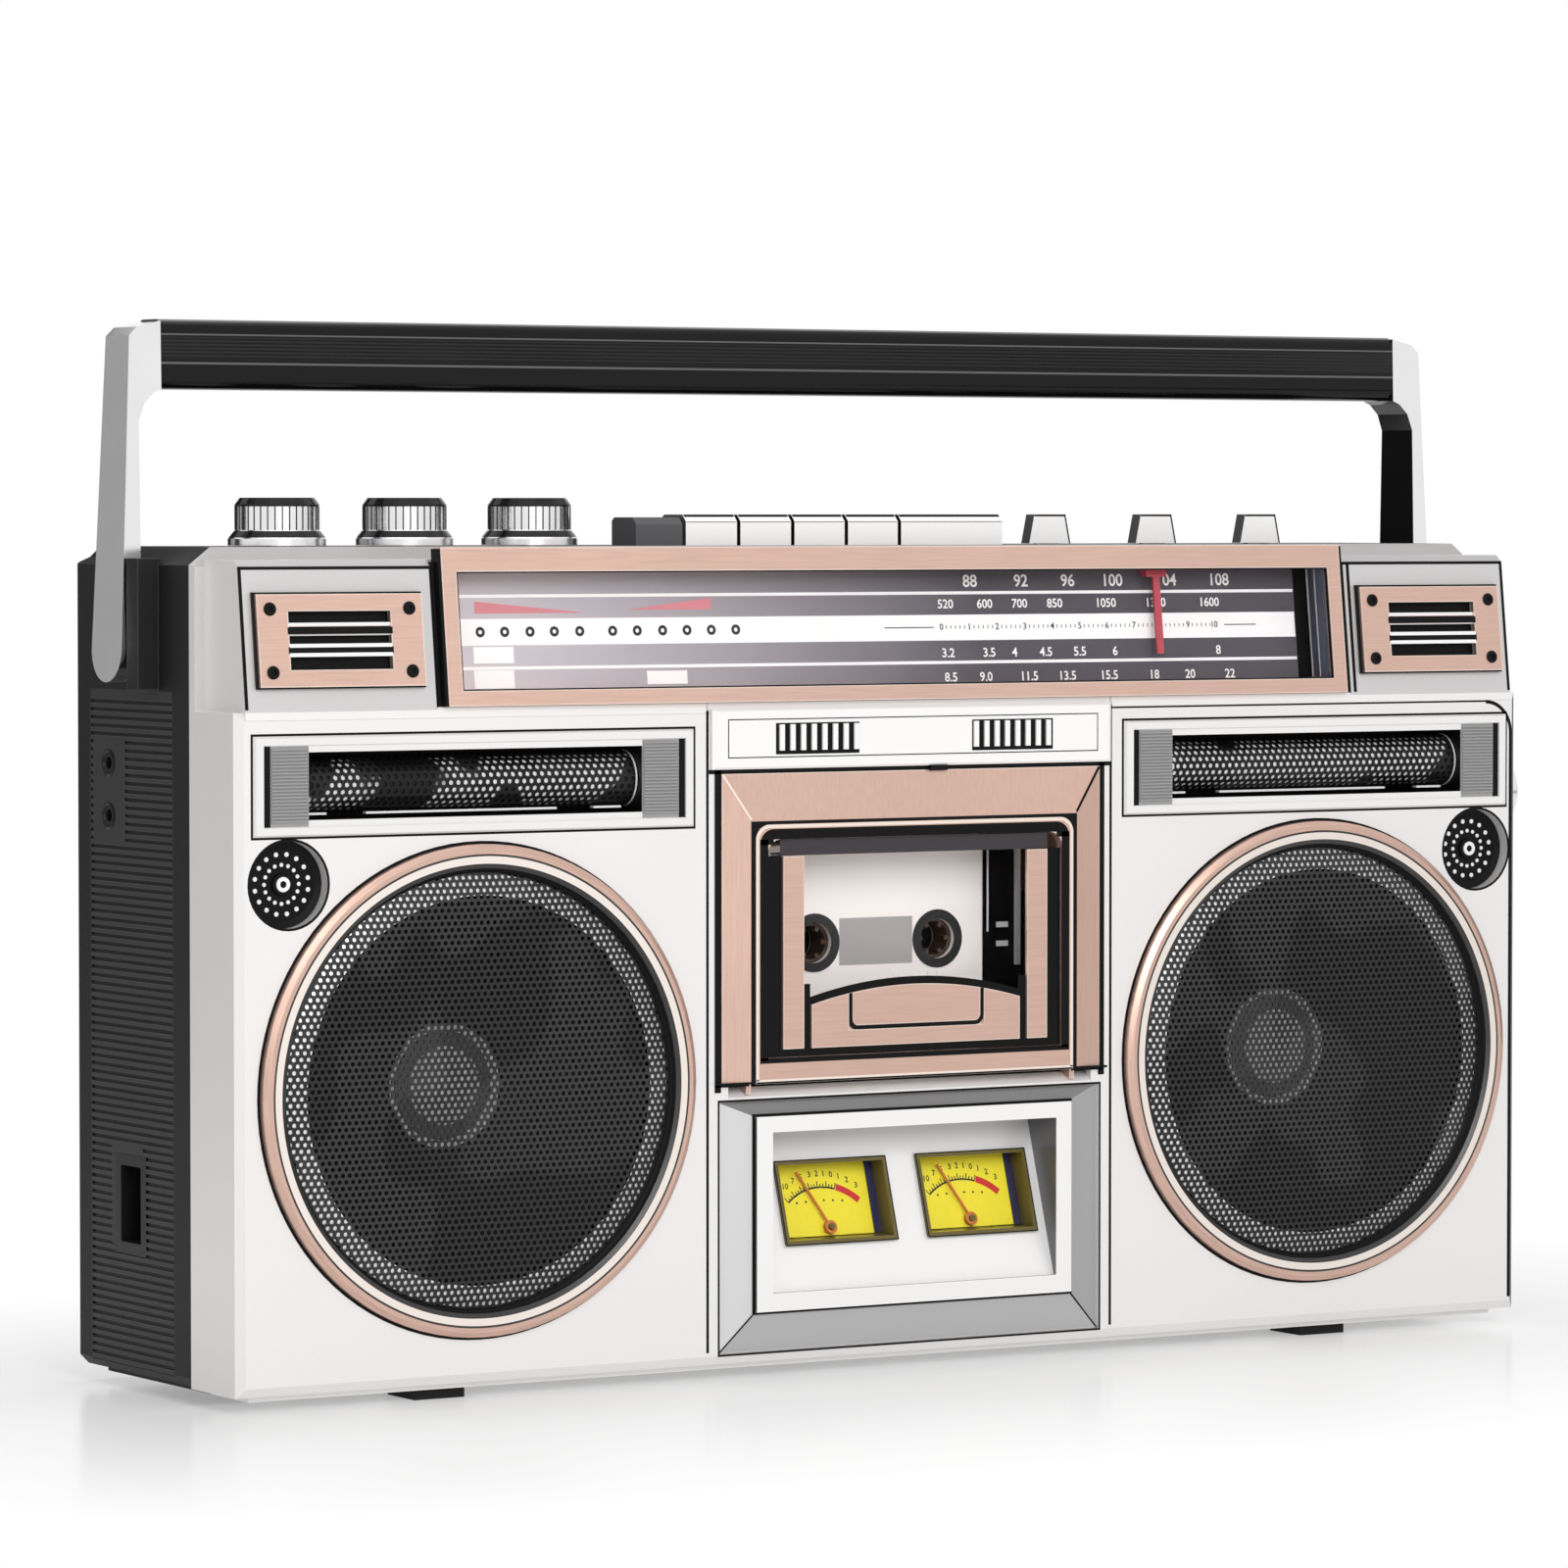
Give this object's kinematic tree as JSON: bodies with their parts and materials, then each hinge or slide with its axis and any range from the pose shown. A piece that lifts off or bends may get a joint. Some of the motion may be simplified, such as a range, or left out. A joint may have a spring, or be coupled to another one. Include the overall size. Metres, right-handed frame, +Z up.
{
  "type": "radio cassette player",
  "caption": "Portable stereo radio and cassette player with a folding handle, opening tape door, piano keys, dial tuning and level meters.",
  "frame": {"origin": "middle of the footprint, on the surface that the feet stand on", "axes": "+X to the right as seen from the front, -Y out of the front face, +Z up"},
  "size_m": [0.456, 0.103, 0.3038],
  "materials": {
    "silver_paint": "satin silver paint on moulded plastic",
    "black_moulding": "black moulded plastic, fine ribs at the sides",
    "rubber": "black rubber",
    "rose_metal": "rose-gold brushed metal",
    "clear_pane": "clear moulded pane",
    "dial_print": "dark printed scale",
    "grille_metal": "black perforated sheet",
    "basket_steel": "pressed steel",
    "cone_paper": "pressed paper cone",
    "deck_steel": "zinc-plated steel",
    "head_alloy": "polished alloy",
    "board_resin": "resin board with its parts",
    "meter_plastic": "yellow scale in a dark case",
    "socket_plastic": "black insulating plastic",
    "gloss_black": "gloss black, fine lengthwise ribs",
    "chrome_plate": "bright chrome plate",
    "cassette_cream": "cream moulded shell",
    "tape_brown": "wound brown tape on a white hub",
    "pointer_red": "red pointer",
    "needle_orange": "painted orange",
    "plug_brass": "turned brass",
    "key_silver": "bright plated plastic"
  },
  "bodies": {
    "cabinet": {"front_shell": "silver_paint", "rear_shell": "black_moulding", "rubber_feet": "rubber", "tuner_bezel": "rose_metal", "dial_window": "clear_pane", "dial_plate": "dial_print", "corner_plates": "rose_metal", "name_strip": "silver_paint", "speaker_rings": "rose_metal", "speaker_grilles": "grille_metal", "woofer_frames": "basket_steel", "woofer_cones": "cone_paper", "horn_bezels": "black_moulding", "horn_grilles": "grille_metal", "mic_grilles": "grille_metal", "door_bezel": "rose_metal", "meter_panel": "silver_paint", "meter_cases": "meter_plastic", "meter_windows": "clear_pane", "deck_plate": "deck_steel", "tape_head": "head_alloy", "drive_motor": "basket_steel", "main_board": "board_resin", "mains_inlet": "socket_plastic", "phone_jacks": "socket_plastic", "drive_belt": "rubber"},
    "handle": {"handle_grip": "gloss_black", "handle_arm_left": "chrome_plate", "handle_arm_right": "chrome_plate"},
    "door": {"door_frame": "rose_metal", "door_window": "clear_pane", "door_trim": "rose_metal", "cassette_holder": "deck_steel", "cassette_shell": "cassette_cream"},
    "hub_left": {"tape_hub_left": "tape_brown"},
    "hub_right": {"tape_hub_right": "tape_brown"},
    "reel_left": {"spindle_left": "socket_plastic"},
    "reel_right": {"spindle_right": "socket_plastic"},
    "flywheel": {"capstan_flywheel": "plug_brass"},
    "pulley": {"motor_pulley": "plug_brass"},
    "roller": {"pinch_roller": "rubber"},
    "tuning": {"tuning_knob": "key_silver"},
    "pointer": {"dial_pointer": "pointer_red"},
    "needle_left": {"needle_left": "needle_orange"},
    "needle_right": {"needle_right": "needle_orange"},
    "battery_cover": {"battery_cover": "black_moulding"},
    "antenna_mast": {"antenna_mast": "chrome_plate"},
    "antenna_tip": {"antenna_tip": "chrome_plate"},
    "key_record": {"key_record": "gloss_black"},
    "key_play": {"key_play": "key_silver"},
    "key_rewind": {"key_rewind": "key_silver"},
    "key_forward": {"key_forward": "key_silver"},
    "key_pause": {"key_pause": "key_silver"},
    "key_stop": {"key_stop": "key_silver"},
    "knob_volume": {"knob_volume": "key_silver"},
    "knob_balance": {"knob_balance": "key_silver"},
    "knob_tone": {"knob_tone": "key_silver"},
    "lever_function": {"lever_function": "key_silver"},
    "lever_band": {"lever_band": "key_silver"},
    "lever_mode": {"lever_mode": "key_silver"}
  },
  "joints": [
    {"name": "handle_fold", "type": "hinge", "parent": "cabinet", "child": "handle", "pos_m": [0, 0.0165, 0.2111], "axis": [-1, 0, 0], "range_deg": [0, 95]},
    {"name": "door_open", "type": "hinge", "parent": "cabinet", "child": "door", "pos_m": [0, -0.0435, 0.0875], "axis": [1, 0, 0], "range_deg": [0, 32]},
    {"name": "battery_cover_open", "type": "hinge", "parent": "cabinet", "child": "battery_cover", "pos_m": [0, 0.0503, 0.0165], "axis": [-1, 0, 0], "range_deg": [0, 80]},
    {"name": "antenna_raise", "type": "hinge", "parent": "cabinet", "child": "antenna_mast", "pos_m": [0.198, 0.04675, 0.23495], "axis": [0, 1, 0], "range_deg": [0, 90]},
    {"name": "antenna_extend", "type": "slide", "parent": "antenna_mast", "child": "antenna_tip", "axis": [-1, 0, 0], "range_m": [0, 0.13]},
    {"name": "tuning_turn", "type": "hinge", "parent": "cabinet", "child": "tuning", "pos_m": [0.2198, -0.0325, 0.1635], "axis": [1, 0, 0], "range_deg": [-1360, 445]},
    {"name": "pointer_slide", "type": "slide", "parent": "cabinet", "child": "pointer", "axis": [1, 0, 0], "range_m": [-0.0715, 0.0235]},
    {"name": "hub_left_turn", "type": "hinge", "parent": "door", "child": "hub_left", "pos_m": [-0.02325, -0.0255, 0.124], "axis": [0, 1, 0], "continuous": true},
    {"name": "reel_left_turn", "type": "hinge", "parent": "cabinet", "child": "reel_left", "pos_m": [-0.02325, -0.0155, 0.124], "axis": [0, 1, 0], "continuous": true},
    {"name": "hub_right_turn", "type": "hinge", "parent": "door", "child": "hub_right", "pos_m": [0.01925, -0.0255, 0.124], "axis": [0, 1, 0], "continuous": true},
    {"name": "reel_right_turn", "type": "hinge", "parent": "cabinet", "child": "reel_right", "pos_m": [0.01925, -0.0155, 0.124], "axis": [0, 1, 0], "continuous": true},
    {"name": "flywheel_turn", "type": "hinge", "parent": "cabinet", "child": "flywheel", "pos_m": [0.0265, -0.0155, 0.099], "axis": [0, 1, 0], "continuous": true},
    {"name": "pulley_turn", "type": "hinge", "parent": "cabinet", "child": "pulley", "pos_m": [-0.038, 0.0021, 0.1025], "axis": [0, 1, 0], "continuous": true},
    {"name": "roller_turn", "type": "hinge", "parent": "cabinet", "child": "roller", "pos_m": [0.0265, -0.0215, 0.0765], "axis": [0, 1, 0], "continuous": true},
    {"name": "needle_left_swing", "type": "hinge", "parent": "cabinet", "child": "needle_left", "pos_m": [-0.0223, -0.03983, 0.0417], "axis": [0, 0.9535, -0.3014], "range_deg": [0, 56], "stiffness_Nm_per_rad": 0.0002, "springref_deg": -11.46},
    {"name": "needle_right_swing", "type": "hinge", "parent": "cabinet", "child": "needle_right", "pos_m": [0.0263, -0.03983, 0.0417], "axis": [0, 0.9535, -0.3014], "range_deg": [0, 56], "stiffness_Nm_per_rad": 0.0002, "springref_deg": -11.46},
    {"name": "key_record_press", "type": "slide", "parent": "cabinet", "child": "key_record", "axis": [0, 0, -1], "range_m": [0, 0.005], "stiffness_N_per_m": 300, "springref_m": -0.003},
    {"name": "key_play_press", "type": "slide", "parent": "cabinet", "child": "key_play", "axis": [0, 0, -1], "range_m": [0, 0.005], "stiffness_N_per_m": 300, "springref_m": -0.003},
    {"name": "key_rewind_press", "type": "slide", "parent": "cabinet", "child": "key_rewind", "axis": [0, 0, -1], "range_m": [0, 0.005], "stiffness_N_per_m": 300, "springref_m": -0.003},
    {"name": "key_forward_press", "type": "slide", "parent": "cabinet", "child": "key_forward", "axis": [0, 0, -1], "range_m": [0, 0.005], "stiffness_N_per_m": 300, "springref_m": -0.003},
    {"name": "key_pause_press", "type": "slide", "parent": "cabinet", "child": "key_pause", "axis": [0, 0, -1], "range_m": [0, 0.005], "stiffness_N_per_m": 300, "springref_m": -0.003},
    {"name": "key_stop_press", "type": "slide", "parent": "cabinet", "child": "key_stop", "axis": [0, 0, -1], "range_m": [0, 0.005], "stiffness_N_per_m": 300, "springref_m": -0.003},
    {"name": "knob_volume_turn", "type": "hinge", "parent": "cabinet", "child": "knob_volume", "pos_m": [-0.1845, -0.0045, 0.2397], "axis": [0, 0, 1], "range_deg": [-150, 150]},
    {"name": "knob_balance_turn", "type": "hinge", "parent": "cabinet", "child": "knob_balance", "pos_m": [-0.1437, -0.0045, 0.2397], "axis": [0, 0, 1], "range_deg": [-150, 150]},
    {"name": "knob_tone_turn", "type": "hinge", "parent": "cabinet", "child": "knob_tone", "pos_m": [-0.1029, -0.0045, 0.2397], "axis": [0, 0, 1], "range_deg": [-150, 150]},
    {"name": "lever_function_slide", "type": "slide", "parent": "cabinet", "child": "lever_function", "axis": [1, 0, 0], "range_m": [-0.004, 0.004]},
    {"name": "lever_band_slide", "type": "slide", "parent": "cabinet", "child": "lever_band", "axis": [1, 0, 0], "range_m": [-0.004, 0.004]},
    {"name": "lever_mode_slide", "type": "slide", "parent": "cabinet", "child": "lever_mode", "axis": [1, 0, 0], "range_m": [-0.004, 0.004]}
  ],
  "couplings": [
    {"joint": "pointer_slide", "follows": "tuning_turn", "m_per_rad": 0.003},
    {"joint": "reel_left_turn", "follows": "hub_left_turn", "ratio": 1},
    {"joint": "hub_right_turn", "follows": "hub_left_turn", "ratio": 1.3333},
    {"joint": "reel_right_turn", "follows": "hub_left_turn", "ratio": 1.3333},
    {"joint": "pulley_turn", "follows": "flywheel_turn", "ratio": 5.5}
  ]
}
